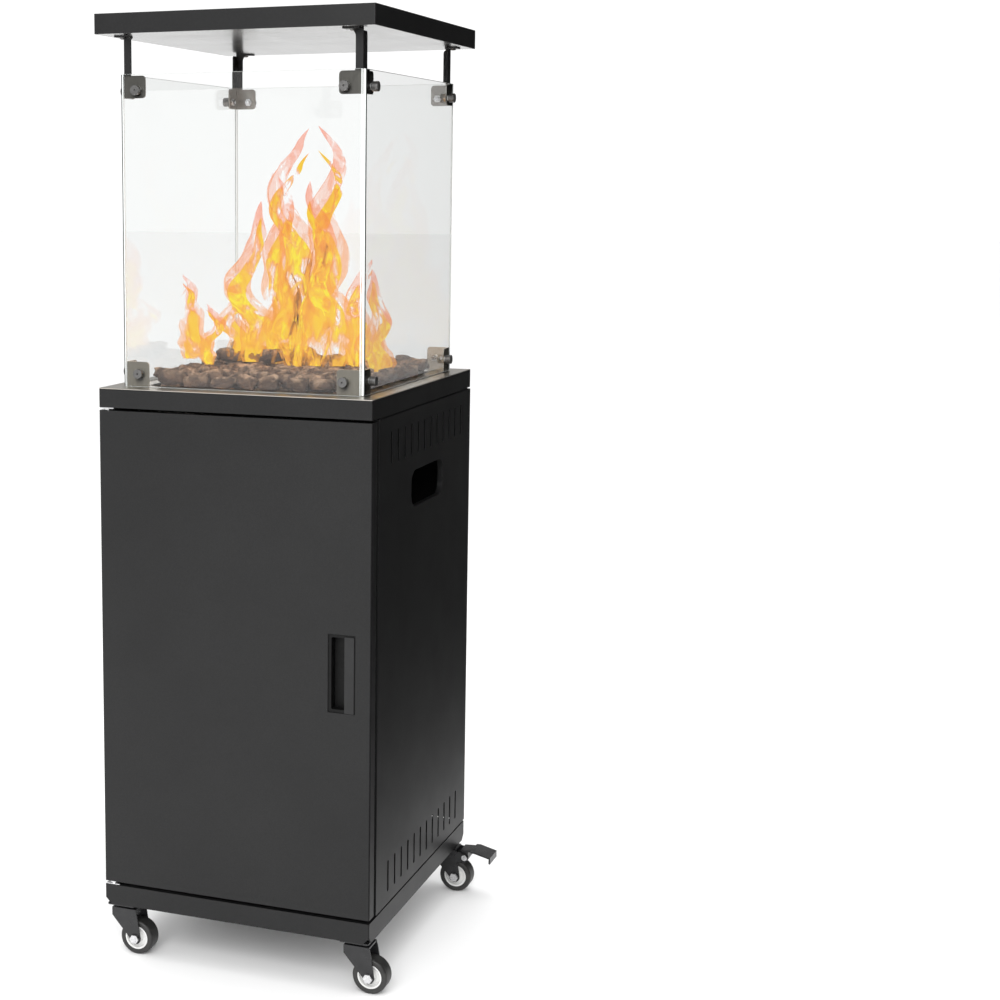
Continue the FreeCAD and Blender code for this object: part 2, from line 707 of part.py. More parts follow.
def pilot_assembly():
    """The pilot hood on its bracket, the spark electrode and the flame sensor."""
    floor = pan_floor + sheet
    bracket_y = (pilot_y - 8, pilot_y + 8)
    foot = block((pilot_x - 18, pilot_x + 18), bracket_y, (floor, floor + 1.5))
    ear = block((pilot_x - 18, pilot_x - 16.5), bracket_y, (floor, floor + 14))
    bracket = joined(foot, ear).cut(rod((pilot_x, pilot_y, floor - 1), (0, 0, 1), 5.6, 4))
    hood = tube((pilot_x, pilot_y, pan_floor - 14), (0, 0, 1), 5, 3.8, 34)
    electrode = rod((pilot_x + 13, pilot_y, floor + 1.5), (0, 0, 1), 3, 15)
    sensor = rod((pilot_x - 12, pilot_y, floor + 1.5), (0, 0, 1), 2.5, 17)
    return [bracket, hood, electrode, sensor]


def rock(length, thickness, height):
    """One lump of lava rock: an eight-sided log with tapered ends."""
    rings = []
    for along, scale in ((-0.5, 0.55), (-0.3, 0.95), (0.28, 1.0), (0.5, 0.5)):
        points = []
        for i in range(8):
            angle = 2 * math.pi * (i + 0.5) / 8
            y = scale * thickness / 2 * math.cos(angle)
            z = scale * height / 2 * math.sin(angle)
            points.append(Vector(along * length, y, z))
        rings.append(Part.makePolygon(points + points[:1]))
    return Part.makeLoft(rings, True, True)


def pan_rocks():
    """The rocks in the burner pan, which leave out the burner ring and the pilot."""
    rocks = []
    level = pan_floor + sheet + 10.0
    for row in range(-4, 5):
        for column in range(-3, 4):
            x = column * 43.0
            y = row * 36.0
            reach = math.hypot(x, y)
            near_ring = abs(reach - burner_ring_radius) < 27
            if near_ring or reach < 50 or abs(x) > 130:
                continue
            turn = (row * 37 + column * 53) % 30 - 15
            rocks.append(moved(turned(rock(38, 27, 19), turn), x, y, level))
    return rocks


def deck_rocks():
    """Rows of rocks over the pan and the deck plate, in staggered columns up to the glass."""
    rocks = []
    level = deck_top + 0.3 + rock_height / 2
    for row in range(rock_rows):
        y = (row - (rock_rows - 1) / 2) * rock_row_pitch
        columns = rock_columns - row % 2
        for column in range(columns):
            x = (column - (columns - 1) / 2) * rock_column_pitch
            if abs(x) > 135 and abs(y) > 155:
                continue
            turn = (row * 29 + column * 71) % 11 - 5
            rocks.append(moved(turned(rock(rock_length, rock_thickness, rock_height), turn), x, y, level))
    return rocks


def heaped_rocks():
    """A low mound of rocks on the others, left of the middle."""
    rocks = []
    level = deck_top + 0.6 + 1.5 * rock_height
    for row in range(4):
        for column in range(3):
            x = -104.0 + column * rock_column_pitch + 18 * (row % 2)
            y = 2.0 + row * rock_row_pitch
            turn = (row * 47 + column * 31) % 11 - 5
            rocks.append(moved(turned(rock(rock_length, rock_thickness, rock_height), turn), x, y, level))
    return rocks


# ---- glass, brackets, posts and roof ----
def bolt_places():
    """The four bolts of a pane: which end of the pane each is at, and its height."""
    return [(side, level) for side in (-1, 1) for level in (lower_bolt_level, upper_bolt_level)]


def front_pane():
    half = glass_inner_x - glass_joint
    y = (-glass_half_y, -glass_inner_y)
    pane = block((-half, half), y, (deck_top + 0.5, glass_top))
    holes = []
    for side, level in bolt_places():
        start = (side * (glass_half_x - bolt_inset), y[0] - 1, level)
        holes.append(rod(start, (0, 1, 0), bolt_radius + 1, glass_sheet + 2))
    return pane.cut(holes)


def right_pane():
    half = glass_inner_y - glass_joint
    x = (glass_inner_x, glass_half_x)
    pane = block(x, (-half, half), (deck_top + 0.5, glass_top))
    holes = []
    for side, level in bolt_places():
        start = (x[0] - 1, side * (glass_half_y - bolt_inset), level)
        holes.append(rod(start, (1, 0, 0), bolt_radius + 1, glass_sheet + 2))
    return pane.cut(holes)


# The brackets and posts are built at a corner whose glass lies on +X and -Y, with the
# corner itself at the origin, then turned a quarter at a time round the glass box. The leg
# along the glass on -Y is the first one, and the leg along the glass on +X is the second.
corner_turns = {"front_right": 0, "front_left": -90, "back_left": -180, "back_right": -270}


def legs_at(name, along_front, along_side):
    """A corner's two leg lengths, in the order of the corner's own frame."""
    if name in ("front_right", "back_left"):
        return along_front, along_side
    return along_side, along_front


def at_corner(shape, name):
    x = glass_inner_x if name.endswith("right") else -glass_inner_x
    y = glass_inner_y if name.startswith("back") else -glass_inner_y
    return moved(turned(shape, corner_turns[name]), x, y)


def bracket_legs(lengths, bottom, top):
    """Two upright plates that meet at the corner, with their far corners rounded."""
    z = (bottom, top)
    first = rounded_block((-lengths[0], lengths[0]), (0, bracket_sheet), z, bracket_rounding, axis=1)
    second = rounded_block((-bracket_sheet, 0), (-lengths[1], lengths[1]), z, bracket_rounding, axis=0)
    first_half = block((-lengths[0], 0), (0, bracket_sheet), z)
    second_half = block((-bracket_sheet, 0), (0, lengths[1]), z)
    return first.common(first_half), second.common(second_half)


def bracket_bolt_holes(level):
    inset = bolt_inset - glass_sheet
    radius = bolt_radius + 0.1
    first = rod((-inset, -1, level), (0, 1, 0), radius, bracket_sheet + 2)
    second = rod((-bracket_sheet - 1, inset, level), (1, 0, 0), radius, bracket_sheet + 2)
    return [first, second]


def lower_bracket(legs):
    """The angle that clamps two panes at the deck, with a foot folded in from each leg."""
    first, second = bracket_legs(legs, deck_top, deck_top + lower_bracket_height)
    foot_z = (deck_top, deck_top + bracket_sheet)
    first_foot = block((-legs[0] + bracket_rounding, 0), (0, bracket_foot), foot_z)
    second_foot = block((-bracket_foot, 0), (0, legs[1] - bracket_rounding), foot_z)
    bracket = joined(first, second, first_foot, second_foot)
    return bracket.cut(bracket_bolt_holes(lower_bolt_level))


def roof_post(legs, strips):
    """The upper bracket and the post in one piece, with a tab folded out under the roof."""
    first, second = bracket_legs(legs, upper_bracket_bottom, upper_bracket_top)
    first_leg, second_leg = strips
    second_top = roof_bottom - 3.5
    rounding = 4.0
    tab_bottom = roof_bottom - bracket_sheet
    first_strip = block((-first_leg, 0), (0, bracket_sheet), (upper_bracket_bottom, roof_bottom))
    second_strip = block((-bracket_sheet, 0), (0, second_leg), (upper_bracket_bottom, second_top))
    middle = (-bracket_sheet - 1, second_leg - rounding, second_top - rounding)
    corner_y = (middle[1], second_leg + 1)
    corner_z = (middle[2], second_top + 1)
    corner = block((-bracket_sheet - 1, 1), corner_y, corner_z)
    second_strip = second_strip.cut(corner.cut(rod(middle, (1, 0, 0), rounding, bracket_sheet + 2)))
    flare_x = (-first_leg - post_flare, -first_leg)
    flare_bottom = tab_bottom - post_flare
    flare = block(flare_x, (0, bracket_sheet), (flare_bottom, tab_bottom))
    flare = flare.cut(rod((flare_x[0], -1, flare_bottom), (0, 1, 0), post_flare, bracket_sheet + 2))
    tab_y = (-post_tab_depth, bracket_sheet)
    tab = rounded_block((-post_tab_length, 0), tab_y, (tab_bottom, roof_bottom), 1.0)
    post = joined(first, second, first_strip, second_strip, flare, tab)
    screw_start = (-post_tab_length / 2, -post_tab_depth / 2, tab_bottom - 1)
    screw_hole = rod(screw_start, (0, 0, 1), 2.6, bracket_sheet + 2)
    return post.cut(bracket_bolt_holes(upper_bolt_level) + [screw_hole])


def glass_bolt():
    """A bolt through the glass, at the origin on the glass's outer face, head towards -Y."""
    shank_end = glass_sheet + bracket_sheet + 6
    head_bottom = -washer_height - bolt_head_height
    head = hexagon((0, -washer_height, 0), (0, -1, 0), 2 * bolt_head_radius - 1, bolt_head_height, sides=12)
    shank = rod((0, -washer_height, 0), (0, 1, 0), bolt_radius, washer_height + shank_end)
    dimple = rod((0, head_bottom - 1, 0), (0, 1, 0), 1.2, 4)
    return joined(head, shank).cut(dimple)


def glass_nut():
    start = glass_sheet + bracket_sheet
    nut = hexagon((0, start, 0), (0, 1, 0), 10, 4)
    return nut.cut(rod((0, start - 1, 0), (0, 1, 0), bolt_radius + 0.05, 6))


def glass_washer():
    return tube((0, 0, 0), (0, -1, 0), washer_radius, bolt_radius + 0.2, washer_height)


def around_glass(piece):
    """Copies of a piece at all sixteen bolt places, pointing out of each pane."""
    copies = []
    for side, level in bolt_places():
        across = side * (glass_half_x - bolt_inset)
        along = side * (glass_half_y - bolt_inset)
        copies.append(moved(piece, across, -glass_half_y, level))
        copies.append(moved(turned(piece, 180), across, glass_half_y, level))
        copies.append(moved(turned(piece, 90), glass_half_x, along, level))
        copies.append(moved(turned(piece, -90), -glass_half_x, along, level))
    return copies


def roof_screw():
    """A pan-head screw through a post's tab and the reflector, at the tab's corner frame."""
    tab_bottom = roof_bottom - bracket_sheet
    x = -post_tab_length / 2
    y = -post_tab_depth / 2
    head = Part.makeCone(3.0, 4.6, 2.4, Vector(x, y, tab_bottom - 2.4))
    shank = rod((x, y, tab_bottom), (0, 0, 1), 2.4, bracket_sheet + 7)
    socket = rod((x, y, tab_bottom - 3), (0, 0, 1), 1.3, 2)
    return joined(head, shank).cut(socket)


def roof_tray():
    x = (-half_width, half_width)
    y = (-half_depth, half_depth)
    skirt = wall(x, y, (roof_bottom, roof_top), sheet)
    top = rounded_block(x, y, (roof_top - sheet, roof_top), corner_radius)
    return joined(skirt, top)


def roof_reflector():
    """The stainless underside, with its edges turned up inside the roof tray."""
    plate_sheet = 1.0
    upturn = 16.0
    x = (-half_width + sheet + 0.2, half_width - sheet - 0.2)
    y = (-half_depth + sheet + 0.2, half_depth - sheet - 0.2)
    plate = rounded_block(x, y, (roof_bottom, roof_bottom + plate_sheet), 1.5)
    edge = wall(x, y, (roof_bottom, roof_bottom + upturn), plate_sheet, 1.5)
    screw_hole = rod((-post_tab_length / 2, -post_tab_depth / 2, roof_bottom - 1), (0, 0, 1), 2.5, 4)
    return joined(plate, edge).cut([at_corner(screw_hole, name) for name in corner_turns])


# ---- casters ----
# A caster is built with its swivel axis on Z at the origin and its wheel trailing towards +X.
caster_names = ["front_left", "front_right", "back_left", "back_right"]


def caster_plate():
    """The bolted top plate with its race and kingpin."""
    half = caster_plate_size / 2
    plate = rounded_block((-half, half), (-half, half), (plate_bottom, caster_height), 3)
    race = Part.makeCone(14, 17, caster_race_height, Vector(0, 0, race_bottom))
    pin_length = crown_sheet + 2 * free_gap
    head_height = 3.0
    pin = rod((0, 0, race_bottom), (0, 0, -1), kingpin_radius, pin_length + head_height)
    head = rod((0, 0, race_bottom - pin_length), (0, 0, -1), kingpin_head_radius, head_height)
    return joined(plate, race, pin, head)


def fork_cheek(y, with_brake):
    """One side of the fork, with a boss at the axle and an ear for the brake pedal."""
    outline = [
        (crown_front, y, crown_top),
        (crown_front, y, crown_top - 12),
        (caster_trail - cheek_boss_radius, y, wheel_radius),
        (caster_trail + cheek_boss_radius, y, wheel_radius),
        (crown_back + 3, y, crown_top - 14),
        (crown_back, y, crown_top),
    ]
    boss = rod((caster_trail, y, wheel_radius), (0, 1, 0), cheek_boss_radius, cheek_sheet)
    pieces = [prism(outline, (0, 1, 0), cheek_sheet), boss]
    if with_brake:
        ear = [
            (crown_back - 4, y, crown_top - 1),
            (crown_back - 4, y, crown_top - 20),
            (pedal_pivot_x, y, pedal_pivot_z - 6),
            (pedal_pivot_x + 6, y, pedal_pivot_z),
            (pedal_pivot_x, y, pedal_pivot_z + 6),
        ]
        pieces.append(prism(ear, (0, 1, 0), cheek_sheet))
    return pieces


def caster_fork(with_brake):
    """The pressed fork: a crown under the race and a cheek on each side of the wheel."""
    crown_y = (-cheek_outer, cheek_outer)
    crown = block((crown_front, crown_back), crown_y, (crown_top - crown_sheet, crown_top))
    fork = joined(crown, *fork_cheek(cheek_inner, with_brake), *fork_cheek(-cheek_outer, with_brake))
    across = -cheek_outer - 1
    reach = 2 * cheek_outer + 2
    kingpin_hole = rod(
        (0, 0, crown_top - crown_sheet - 1), (0, 0, 1), kingpin_radius + running_gap, crown_sheet + 2
    )
    holes = [kingpin_hole, rod((caster_trail, across, wheel_radius), (0, 1, 0), axle_radius + 0.02, reach)]
    if with_brake:
        pivot = (pedal_pivot_x, across, pedal_pivot_z)
        holes.append(rod(pivot, (0, 1, 0), pedal_pin_radius + 0.02, reach))
    return fork.cut(holes)


def caster_axle(with_brake):
    """The axle bolt and its nut, and on a braked caster the pedal's rivet."""
    across_flats = 12.0
    head_place = (caster_trail, -cheek_outer, wheel_radius)
    nut_place = (caster_trail, cheek_outer, wheel_radius)
    shank = rod(head_place, (0, 1, 0), axle_radius, 2 * cheek_outer + 6)
    bolt = joined(shank, hexagon(head_place, (0, -1, 0), across_flats, 4))
    nut_bore = rod((caster_trail, cheek_outer - 1, wheel_radius), (0, 1, 0), axle_radius + 0.03, 8)
    nut = hexagon(nut_place, (0, 1, 0), across_flats, 5).cut(nut_bore)
    pieces = [bolt, nut]
    if with_brake:
        head_height = 1.5
        start = (pedal_pivot_x, -cheek_outer - head_height, pedal_pivot_z)
        rivet = rod(start, (0, 1, 0), pedal_pin_radius, 2 * (cheek_outer + head_height))
        near_head = rod(start, (0, 1, 0), 4.5, head_height)
        far_head = rod((pedal_pivot_x, cheek_outer, pedal_pivot_z), (0, 1, 0), 4.5, head_height)
        pieces.append(joined(rivet, near_head, far_head))
    return pieces


def turned_profile(points):
    """A solid of revolution about the axle, from points given as radius and side offset."""
    corners = [Vector(caster_trail, side, wheel_radius + radius) for radius, side in points]
    face = Part.Face(Part.makePolygon(corners + corners[:1]))
    return face.revolve(Vector(caster_trail, 0, wheel_radius), Vector(0, 1, 0), 360)


def caster_tyre():
    half = wheel_width / 2
    corners = [(hub_radius, -half), (wheel_radius, -half), (wheel_radius, half), (hub_radius, half)]
    tyre = turned_profile(corners)
    rims = []
    for edge in tyre.Edges:
        reaches_tread = abs(edge.BoundBox.ZMax - 2 * wheel_radius) < 0.01
        if reaches_tread and edge.BoundBox.YLength < 0.01:
            rims.append(edge)
    return tyre.makeFillet(tyre_rounding, rims)


def caster_hub():
    """The wheel's centre: a boss, a dished web on each side and a rim under the tyre."""
    half = wheel_width / 2
    bore = axle_radius + running_gap
    one_side = [
        (bore, half + 1.5),
        (8.0, half + 1.5),
        (8.8, half - 5),
        (14.2, half - 6),
        (15.0, half - 0.5),
        (hub_radius, half - 0.5),
    ]
    other_side = [(radius, -side) for radius, side in reversed(one_side)]
    return turned_profile(one_side + other_side)


def brake_pedal():
    """The foot pedal: a broad plate on a pivot barrel, with a cam that nips the tyre."""
    half = cheek_inner - 1.0
    tread_half = 19.0
    reach = 2 * half
    barrel = rod((pedal_pivot_x, -half, pedal_pivot_z), (0, 1, 0), 5.5, reach)
    lever_view = [(29.0, 66.5), (29.0, 69.0), (52.0, 70.5), (52.0, 67.5), (41.0, 66.5), (41.0, 58.0)]
    lever_view += [(31.0, 58.0), (31.0, 66.5)]
    tread_view = [(46.0, 67.6), (46.0, 70.1), (52.0, 70.5), (78.0, 64.0), (78.0, 54.0), (75.5, 54.0)]
    tread_view += [(75.5, 61.8), (52.0, 67.5)]
    lever = prism([(x, -half, z) for x, z in lever_view], (0, 1, 0), reach)
    tread = prism([(x, -tread_half, z) for x, z in tread_view], (0, 1, 0), 2 * tread_half)
    bore_start = (pedal_pivot_x, -half - 1, pedal_pivot_z)
    bore = rod(bore_start, (0, 1, 0), pedal_pin_radius + running_gap, reach + 2)
    return joined(barrel, lever, tread, cam_wedge(half)).cut(bore)


def cam_wedge(half):
    """The cam, set back by the pedal's travel from the line through the wheel's middle."""
    to_wheel = Vector(caster_trail - pedal_pivot_x, 0, wheel_radius - pedal_pivot_z)
    length = to_wheel.Length - wheel_radius - free_gap
    heading = to_wheel.normalize()
    across = Vector(-heading.z, 0, heading.x)
    pivot = Vector(pedal_pivot_x, -half, pedal_pivot_z)
    tip = pivot + heading * length
    corners = [pivot + across * 5.0, tip + across * 1.5, tip - across * 1.5, pivot - across * 5.0]
    face = Part.Face(Part.makePolygon(corners + corners[:1]))
    cam = face.extrude(Vector(0, 2 * half, 0))
    cam.rotate(Vector(pedal_pivot_x, 0, pedal_pivot_z), Vector(0, 1, 0), -pedal_travel)
    return cam


def at_caster(shape, name):
    """Three casters trail to the right. The one at the back left trails to the left."""
    x = half_width - caster_inset_x
    y = half_depth - caster_inset_y
    side = 1 if name.endswith("right") else -1
    end = 1 if name.startswith("back") else -1
    angle = 180 if name == "back_left" else 0
    return moved(turned(shape, angle), side * x, end * y)


def save_casters():
    save("caster_plates", *[at_caster(caster_plate(), name) for name in caster_names])
    for name in caster_names:
        with_brake = name.startswith("back")
        save("fork_" + name, at_caster(caster_fork(with_brake), name))
        save("axle_" + name, *[at_caster(piece, name) for piece in caster_axle(with_brake)])
        save("tyre_" + name, at_caster(caster_tyre(), name))
        save("hub_" + name, at_caster(caster_hub(), name))
        if with_brake:
            save("brake_pedal_" + name, at_caster(brake_pedal(), name))


def save_cabinet():
    save("base_tray", base_tray())
    right = side_panel()
    save("right_side_panel", right)
    save("left_side_panel", mirrored_x(right))
    save("back_panel", back_panel())
    save("bottle_stops", *bottle_stops())
    save("tilt_switch", tilt_switch())
    save("magnetic_catch", magnetic_catch())
    save("hinge_pins", *hinge_pins())
    save("door_panel", door_panel())
    save("handle_cup", handle_cup())
    save("door_strike", door_strike())


def save_burner():
    save("deck_frame", deck_frame())
    save("deck_plate", deck_plate())
    save("burner_pan", burner_pan())
    save("burner_ring", burner_ring())
    save("mixer_tube", mixer_tube())
    save("control_panel", control_panel())
    save("gas_valve", gas_valve())
    save("valve_plug", valve_plug())
    save("valve_spindle", valve_spindle())
    save("control_knob", control_knob())
    save("igniter_body", igniter_body())
    save("igniter_button", igniter_button())
    save("supply_pipe", supply_pipe())
    save("brass_fittings", *brass_fittings())
    save("pilot_assembly", *pilot_assembly())
    save("lava_rocks", *pan_rocks(), *deck_rocks(), *heaped_rocks())


def save_glass_and_roof():
    front = front_pane()
    right = right_pane()
    save("glass_front", front)
    save("glass_back", turned(front, 180))
    save("glass_right", right)
    save("glass_left", turned(right, 180))
    lower = [at_corner(lower_bracket(legs_at(name, *lower_legs)), name) for name in corner_turns]
    save("lower_brackets", *lower)
    for name in corner_turns:
        post = roof_post(legs_at(name, *upper_legs), legs_at(name, *post_legs))
        save("roof_post_" + name, at_corner(post, name))
    save("glass_bolts", *around_glass(glass_bolt()), *around_glass(glass_nut()))
    save("glass_washers", *around_glass(glass_washer()))
    save("roof_tray", roof_tray())
    save("roof_reflector", roof_reflector())
    save("roof_screws", *[at_corner(roof_screw(), name) for name in corner_turns])


os.makedirs("parts", exist_ok=True)
save_cabinet()
save_burner()
save_glass_and_roof()
save_casters()
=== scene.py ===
import json
import math
import random

import bmesh
import bpy
import numpy as np
from mathutils import Matrix, Vector, noise


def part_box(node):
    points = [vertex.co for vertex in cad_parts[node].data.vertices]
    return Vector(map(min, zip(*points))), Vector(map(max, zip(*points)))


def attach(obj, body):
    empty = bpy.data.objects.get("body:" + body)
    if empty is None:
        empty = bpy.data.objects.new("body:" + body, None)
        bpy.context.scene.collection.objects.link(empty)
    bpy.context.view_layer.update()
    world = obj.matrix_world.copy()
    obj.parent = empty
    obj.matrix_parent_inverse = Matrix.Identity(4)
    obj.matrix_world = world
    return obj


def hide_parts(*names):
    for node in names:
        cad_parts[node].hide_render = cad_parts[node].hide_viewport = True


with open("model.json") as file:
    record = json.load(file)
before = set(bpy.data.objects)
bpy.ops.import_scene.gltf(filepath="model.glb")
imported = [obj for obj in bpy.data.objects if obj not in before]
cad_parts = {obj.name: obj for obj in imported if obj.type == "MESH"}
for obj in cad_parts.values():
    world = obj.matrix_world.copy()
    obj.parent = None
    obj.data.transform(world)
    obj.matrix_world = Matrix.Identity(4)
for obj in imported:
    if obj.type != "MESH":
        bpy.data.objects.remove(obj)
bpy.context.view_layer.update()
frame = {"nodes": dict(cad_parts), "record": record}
nodes = frame["nodes"]
bodies = frame["record"]["behaviour"]["bodies"]
body_of = {node: body for body, members in bodies.items() for node in members}
slot_of = {row["node"]: row["material_slot"] for row in frame["record"]["subparts"]}
rng = random.Random(7)

MM = 0.001

# The handle's grip plate starts this far from the left of its cup, and goes this deep from the front.
grip_inset = 27 * MM
grip_depth = 3.6 * MM

# Planes where one finish ends and another begins: the inner faces of the glass box,
# its top edge, and the left and back limits of the grip plate.
glass_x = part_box("glass_right")[0][0]
glass_y = -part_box("glass_front")[1][1]
glass_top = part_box("glass_front")[1][2]
grip_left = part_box("handle_cup")[0][0] + grip_inset
grip_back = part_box("handle_cup")[0][1] + grip_depth

# Where the painted dark line on the panes' edges begins and ends, measured outwards from the inner faces of
# the side panes.
painted_dark_line_start = 3.0 * MM
painted_dark_line_end = 3.8 * MM

# A face square to an axis has at least this much of its normal along it.
square_on = 0.98

# Points closer than this are one point, when a CAD mesh is rounded or split into rocks.
weld_for_rounding = 2e-6
weld_for_rocks = 1e-6

# Faces that meet at less than the first angle are one face. More than the second is a sharp edge.
flat_angle = math.radians(0.6)
sharp_angle = math.radians(35)

# Segments across a rounded edge, and how much the large faces lead in its smooth shading.
edge_segments = 2
normal_weight = 80

# Brightness of the white surround as light, as a backdrop and in reflections.
surround_light = 1.3
surround_seen = 1.1
surround_mirrored = 0.45

# The floor reaches this far from the heater.
floor_reach = 40.0

# Rows and columns of a flame's mesh, and the radius that its tip narrows to.
flame_rows = 40
flame_columns = 28
flame_least_radius = 0.3 * MM


# ---- materials ----
class Shader:
    """One material with a Principled shader, built node by node."""

    def __init__(self, name, colour=(0.5, 0.5, 0.5), metallic=0.0, roughness=0.5):
        self.material = bpy.data.materials.new(name)
        self.material.use_nodes = True
        self.tree = self.material.node_tree
        self.main = self.tree.nodes["Principled BSDF"]
        self.output = self.tree.nodes["Material Output"]
        self.main.inputs["Base Color"].default_value = (*colour, 1)
        self.main.inputs["Metallic"].default_value = metallic
        self.main.inputs["Roughness"].default_value = roughness
        self.place = self.add("ShaderNodeTexCoord").outputs["Object"]

    def add(self, kind, **values):
        node = self.tree.nodes.new(kind)
        for key, value in values.items():
            setattr(node, key, value)
        return node

    def link(self, source, target):
        self.tree.links.new(source, target)

    def scaled(self, scale):
        """Object coordinates, scaled along each axis."""
        mapping = self.add("ShaderNodeMapping")
        mapping.inputs["Scale"].default_value = scale
        self.link(self.place, mapping.inputs["Vector"])
        return mapping.outputs["Vector"]

    def noise(self, scale, detail=3.0, roughness=0.55, distortion=0.0, vector=None):
        node = self.add("ShaderNodeTexNoise")
        node.inputs["Scale"].default_value = scale
        node.inputs["Detail"].default_value = detail
        node.inputs["Roughness"].default_value = roughness
        node.inputs["Distortion"].default_value = distortion
        self.link(vector or self.place, node.inputs["Vector"])
        return node.outputs["Fac"]

    def ramp(self, value, stops):
        """A value turned into a colour through (position, colour) stops."""
        node = self.add("ShaderNodeValToRGB")
        elements = node.color_ramp.elements
        while len(elements) < len(stops):
            elements.new(0.5)
        for element, (position, colour) in zip(elements, stops):
            element.position = position
            element.color = (*colour, 1)
        self.link(value, node.inputs["Fac"])
        return node.outputs["Color"]

    def spread(self, value, low, high, start=0.3, stop=0.7):
        """A noise value stretched to the range from low to high."""
        node = self.add("ShaderNodeMapRange")
        node.inputs["From Min"].default_value = start
        node.inputs["From Max"].default_value = stop
        node.inputs["To Min"].default_value = low
        node.inputs["To Max"].default_value = high
        self.link(value, node.inputs["Value"])
        return node.outputs["Result"]

    def mix(self, factor, first, second, blend="MIX"):
        node = self.add("ShaderNodeMix", data_type="RGBA", blend_type=blend)
        for socket, value in (("Factor", factor), ("A", first), ("B", second)):
            target = [s for s in node.inputs if s.name == socket and s.enabled][0]
            if hasattr(value, "is_linked"):
                self.link(value, target)
            else:
                target.default_value = value
        return [s for s in node.outputs if s.enabled][0]

    def bump(self, height, distance, strength=1.0, base=None):
        node = self.add("ShaderNodeBump")
        node.inputs["Distance"].default_value = distance
        node.inputs["Strength"].default_value = strength
        self.link(height, node.inputs["Height"])
        if base is not None:
            self.link(base, node.inputs["Normal"])
        return node.outputs["Normal"]

    def drive(self, socket, value):
        self.link(value, self.main.inputs[socket])


def powder_coat(name, dark, light):
    """Black powder coat: cloudy colour, a fine orange peel and a slightly uneven gloss."""
    shader = Shader(name)
    shader.main.inputs["Specular IOR Level"].default_value = 0.3
    cloud = shader.noise(7, detail=4)
    grain = shader.noise(900, detail=2)
    colour = shader.ramp(cloud, [(0.3, dark), (0.7, light)])
    speck = shader.ramp(grain, [(0.35, (0.7, 0.7, 0.7)), (0.75, (1.25, 1.25, 1.25))])
    shader.drive("Base Color", shader.mix(1.0, colour, speck, "MULTIPLY"))
    shader.drive("Roughness", shader.spread(shader.noise(16, detail=5), 0.40, 0.44))
    peel = shader.noise(420, detail=2)
    shader.drive("Normal", shader.bump(peel, 0.00003, 0.5, shader.bump(grain, 0.000015, 0.4)))
    return shader.material


def black_steel():
    """Glossier black dip coat on the caster forks and pedals."""
    shader = Shader("black_steel")
    colour = shader.ramp(shader.noise(60), [(0.3, (0.008, 0.008, 0.009)), (0.7, (0.016, 0.016, 0.017))])
    shader.drive("Base Color", colour)
    shader.drive("Roughness", shader.spread(shader.noise(45, detail=5), 0.22, 0.38))
    shader.drive("Normal", shader.bump(shader.noise(500, detail=3), 0.00003, 0.5))
    return shader.material


def dark_steel():
    """Black oxide on the bolts: metal that is darker in its turned grain."""
    shader = Shader("dark_steel", metallic=0.85)
    grain = shader.noise(1400, detail=3)
    shader.drive("Base Color", shader.ramp(grain, [(0.3, (0.10, 0.10, 0.10)), (0.7, (0.22, 0.215, 0.21))]))
    shader.drive("Roughness", shader.spread(shader.noise(300), 0.28, 0.45))
    shader.drive("Normal", shader.bump(grain, 0.00003, 0.4))
    return shader.material


def brushed(name, colour, roughness, axis_scale, tint=None, metallic=1.0):
    """Brushed stainless: long streaks along one axis in colour, gloss and height."""
    shader = Shader(name, metallic=metallic)
    streaks = shader.noise(1.0, detail=4, vector=shader.scaled(axis_scale))
    smudge = shader.noise(11, detail=5, distortion=0.4)
    dark = tuple(value * 0.86 for value in colour)
    base = shader.ramp(streaks, [(0.3, dark), (0.7, colour)])
    if tint:
        base = shader.mix(shader.spread(smudge, 0.0, 0.5), base, (*tint, 1))
    shader.drive("Base Color", base)
    along_grain = shader.spread(streaks, roughness - 0.05, roughness + 0.08)
    where_touched = shader.spread(smudge, roughness - 0.06, roughness + 0.1)
    shader.drive("Roughness", shader.mix(0.35, along_grain, where_touched))
    shader.drive("Normal", shader.bump(streaks, 0.00001, 0.35))
    return shader.material


def zinc():
    """Bright zinc plate with a fine spangle."""
    shader = Shader("zinc_steel", metallic=1.0)
    spangle = shader.noise(420, detail=3)
    shader.drive("Base Color", shader.ramp(spangle, [(0.3, (0.58, 0.58, 0.60)), (0.7, (0.82, 0.82, 0.82))]))
    shader.drive("Roughness", shader.spread(shader.noise(200), 0.18, 0.36))
    shader.drive("Normal", shader.bump(spangle, 0.00003, 0.3))
    return shader.material


def cast(name, colour, roughness):
    """Cast or turned soft metal with a fine skin."""
    shader = Shader(name, metallic=1.0)
    skin = shader.noise(700, detail=3)
    dark = tuple(value * 0.75 for value in colour)
    shader.drive("Base Color", shader.ramp(skin, [(0.3, dark), (0.7, colour)]))
    shader.drive("Roughness", shader.spread(skin, roughness - 0.08, roughness + 0.1))
    shader.drive("Normal", shader.bump(skin, 0.00006, 0.5))
    return shader.material


def plastic(name, colour, roughness, texture=0.00004, gloss=0.5):
    """Moulded plastic with a fine spark-eroded texture."""
    shader = Shader(name)
    shader.main.inputs["Specular IOR Level"].default_value = gloss
    pits = shader.noise(1300, detail=2)
    dark = tuple(value * 0.82 for value in colour)
    shader.drive("Base Color", shader.ramp(shader.noise(35, detail=4), [(0.3, dark), (0.7, colour)]))
    shader.drive("Roughness", shader.spread(shader.noise(90, detail=4), roughness - 0.06, roughness + 0.08))
    shader.drive("Normal", shader.bump(pits, texture, 0.5))
    return shader.material


